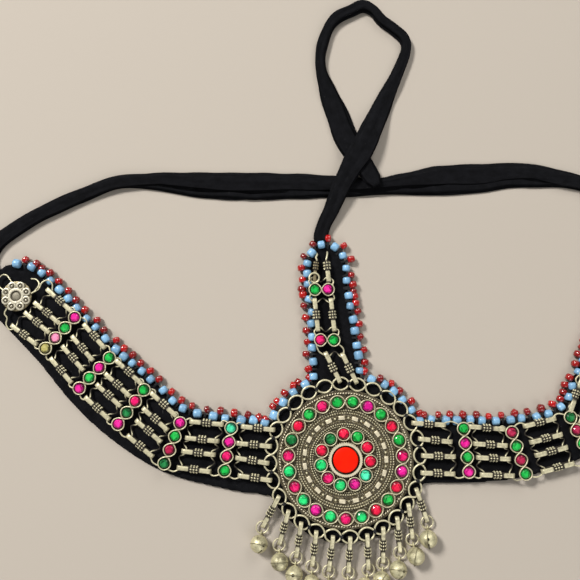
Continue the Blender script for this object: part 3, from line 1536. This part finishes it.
class HEADPIECE_OT_bead_edging(bpy.types.Operator):
    """Two rows of seed beads sewn along the band's upper edge"""

    bl_idname = "headpiece.bead_edging"
    bl_label = "Bead edging"

    def course(self):
        """The line of the blue beads' middles from the left end over the crown to the right end."""
        rim = even_steps(band_outline(), 0.8, closed=True)[:-1]
        first, last = (int(np.argmin(np.linalg.norm(rim - end, axis=1))) for end in COURSE_ENDS)
        steps = (first - last) % len(rim)
        line = rim[[(first - k) % len(rim) for k in range(steps + 1)]]
        for _ in range(6):
            line[1:-1] = (line[:-2] + 2 * line[1:-1] + line[2:]) / 4
        line = line - 0.1 * directions(line)[1]
        far = np.linalg.norm(line, axis=1)
        near = far < COURSE_NEAREST
        line[near] *= (COURSE_NEAREST / far[near])[:, None]
        return even_steps(line, COURSE_STEP)

    def bead(self, size, length, hole, sides, material):
        """A short tube with well rounded ends, its hole along X."""
        made = primitive("cylinder", vertices=sides, radius=size / 2, depth=length, rotation=ALONG_X)
        for side in (-1, 1):
            pick_faces(made, lambda c, n, side=side: n.x * side > 0.9)
            for inward, out in ((0.06, 0.1), (0.11, 0.07)):
                inset(size * inward)
                shift((side * size * out, 0, 0))
            inset(size * 0.33 - hole)
            extrude((-side * length * 0.35, 0, 0))
            leave()
        smooth_faces(made, 70)
        made.data.attributes.new("tone", "FLOAT", "FACE")
        return paint(made, material)

    def toned(self, bead, x, y, z, heading, sizes, tone):
        """A copy of a bead at a place, with its own size and tone."""
        copy = twin(bead, place_at(x, y, z, heading) @ Matrix.Diagonal((*sizes, 1)))
        copy.data.attributes["tone"].data.foreach_set("value", [tone] * len(copy.data.polygons))
        return copy

    def execute(self, context):
        blue_size, red_size, pitch = in_mm("blue_bead_size"), in_mm("red_bead_size"), in_mm("bead_pitch")
        blue = self.bead(blue_size, 0.52 * blue_size, 0.45, 12, "blue")
        red = self.bead(red_size, 0.42 * red_size, 0.36, 10, "red")
        line = self.course()
        ahead, out = directions(line)
        heading = np.degrees(np.arctan2(ahead[:, 1], ahead[:, 0]))
        chance = random.Random(41)
        blues, reds, thread, whips = [], [], [], []
        at = 0.0
        while at < (len(line) - 1) * COURSE_STEP:
            k = int(at / COURSE_STEP)
            angle = heading[k] + chance.gauss(0, 9)
            place = line[k] + out[k] * chance.gauss(0, 0.18)
            grow = 1 + chance.gauss(0, 0.05)
            sizes = (grow * chance.uniform(0.86, 1.12), grow, grow)
            blues.append(self.toned(blue, *place, BEAD_Z, angle, sizes, chance.uniform(0.2, 1.0)))
            thread.append((*place, BEAD_Z))
            step = pitch * clamped(chance.gauss(1, 0.13), 0.78, 1.38)
            k = min(len(line) - 1, int((at + step / 2) / COURSE_STEP))
            beads = 2 if chance.random() < 0.18 else 1
            # the red row lies close to the blue one at the left end and further out after that
            reach = 1.65 + 0.45 * min(1.0, at / 60)
            for b in range(beads):
                beside = (b - (beads - 1) / 2) * 2.7 + chance.gauss(0, 0.2)
                spot = line[k] + out[k] * (reach + chance.gauss(0, 0.28)) + ahead[k] * beside
                angle = heading[k] + chance.gauss(0, 22)
                size = 1 + chance.gauss(0, 0.05)
                foot = max(CLOTH_TOP + 0.05, size * red_size / 2)
                reds.append(self.toned(red, *spot, foot, angle, (size, size, size), chance.uniform(0.1, 1.0)))
                thread.append((*spot, foot))
                inner = line[k] - out[k] * 1.5 + ahead[k] * chance.gauss(0, 0.5)
                over = (2 * line[k] + spot) / 3
                # two strands of each stitch: points and their heights above the cloth
                for lane in (-0.22, 0.16):
                    stops = ((inner, 0.0), (0.5 * (inner + over), 0.75), (over, 0.7), (spot, -0.1))
                    whips.append([(*(point + lane * ahead[k]), CLOTH_TOP + rise) for point, rise in stops])
            at += step
        settled("blue_beads", blues)
        settled("red_beads", reds)
        remove(blue, red)
        settled("bead_thread", [wires([thread], 0.13, "thread", sides=1)])
        loops = wires([smooth_path(whip, 3) for whip in whips], 0.24, "stitch", sides=1)
        settled("bead_stitches", [loops])
        return {"FINISHED"}


class HEADPIECE_OT_stage(bpy.types.Operator):
    """Pale floor, soft studio light and the camera over the brow"""

    bl_idname = "headpiece.stage"
    bl_label = "Stage"

    def aimed(self, data, place, target):
        """A lamp or camera at a place, looking at a target."""
        obj = bpy.data.objects.new(data.name, data)
        obj.location = place
        obj.rotation_euler = (Vector(target) - Vector(place)).to_track_quat("-Z", "Y").to_euler()
        bpy.context.collection.objects.link(obj)
        return obj

    def execute(self, context):
        floor = start(bpy.ops.mesh.primitive_plane_add, size=6)
        floor.name = "floor"
        colour = srgb(176, 166, 153)
        material, n = new_material("warm_floor", colour)
        shader(n, colour, 0.8, Specular_IOR_Level=0.2)
        floor.data.materials.append(material)
        world = bpy.data.worlds.new("studio")
        world.use_nodes = True
        background = world.node_tree.nodes["Background"]
        background.inputs["Color"].default_value = (0.93, 0.96, 1.0, 1)
        background.inputs["Strength"].default_value = 0.18
        context.scene.world = world
        for name, place, size, power in (
            ("key_light", (-0.95, 0.95, 1.25), 0.4, 40.0),
            ("far_light", (0.75, 1.50, 1.25), 1.0, 13.0),
            ("fill_light", (0.60, -1.20, 1.10), 1.2, 11.0),
        ):
            lamp = bpy.data.lights.new(name, "AREA")
            lamp.energy = power
            lamp.size = size
            self.aimed(lamp, place, (0, 0, 0))
        camera = bpy.data.cameras.new("brow_camera")
        camera.lens = 38.98
        camera.sensor_width = 36.0
        camera.clip_start = 0.01
        camera.clip_end = 20.0
        context.scene.camera = self.aimed(camera, (-0.02028, 0.03767, 0.23869), (-0.02028, 0.06275, 0.0))
        context.scene.view_settings.view_transform = "Standard"
        return {"FINISHED"}


STEPS = (
    HEADPIECE_OT_stage,
    HEADPIECE_OT_cotton_band,
    HEADPIECE_OT_ties,
    HEADPIECE_OT_links,
    HEADPIECE_OT_drop_links,
    HEADPIECE_OT_crown_hooks,
    HEADPIECE_OT_spacers,
    HEADPIECE_OT_rosettes,
    HEADPIECE_OT_medallion,
    HEADPIECE_OT_stones,
    HEADPIECE_OT_bells,
    HEADPIECE_OT_bead_edging,
)


class HEADPIECE_PT_pieces(bpy.types.Panel):
    """Lists the headpiece's pieces, sizes and colours"""

    bl_idname = "HEADPIECE_PT_pieces"
    bl_label = "Headpiece"
    bl_space_type = "VIEW_3D"
    bl_region_type = "UI"
    bl_category = "Headpiece"

    def draw(self, context):
        column = self.layout.column()
        for group in (context.scene.headpiece_colours, context.scene.headpiece_sizes):
            for name in group.__annotations__:
                column.prop(group, name)
        for step in STEPS:
            column.operator(step.bl_idname)


CLASSES = (HeadpieceColours, HeadpieceSizes, *STEPS, HEADPIECE_PT_pieces)


def register():
    for each in CLASSES:
        bpy.utils.register_class(each)
    bpy.types.Scene.headpiece_colours = bpy.props.PointerProperty(type=HeadpieceColours)
    bpy.types.Scene.headpiece_sizes = bpy.props.PointerProperty(type=HeadpieceSizes)


def unregister():
    del bpy.types.Scene.headpiece_sizes
    del bpy.types.Scene.headpiece_colours
    for each in reversed(CLASSES):
        bpy.utils.unregister_class(each)


def main():
    register()
    build_materials()
    for step in STEPS:
        group, name = step.bl_idname.split(".")
        if getattr(getattr(bpy.ops, group), name)() != {"FINISHED"}:
            raise RuntimeError(f"{step.bl_label} did not finish")
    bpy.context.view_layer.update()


if __name__ == "__main__":
    main()
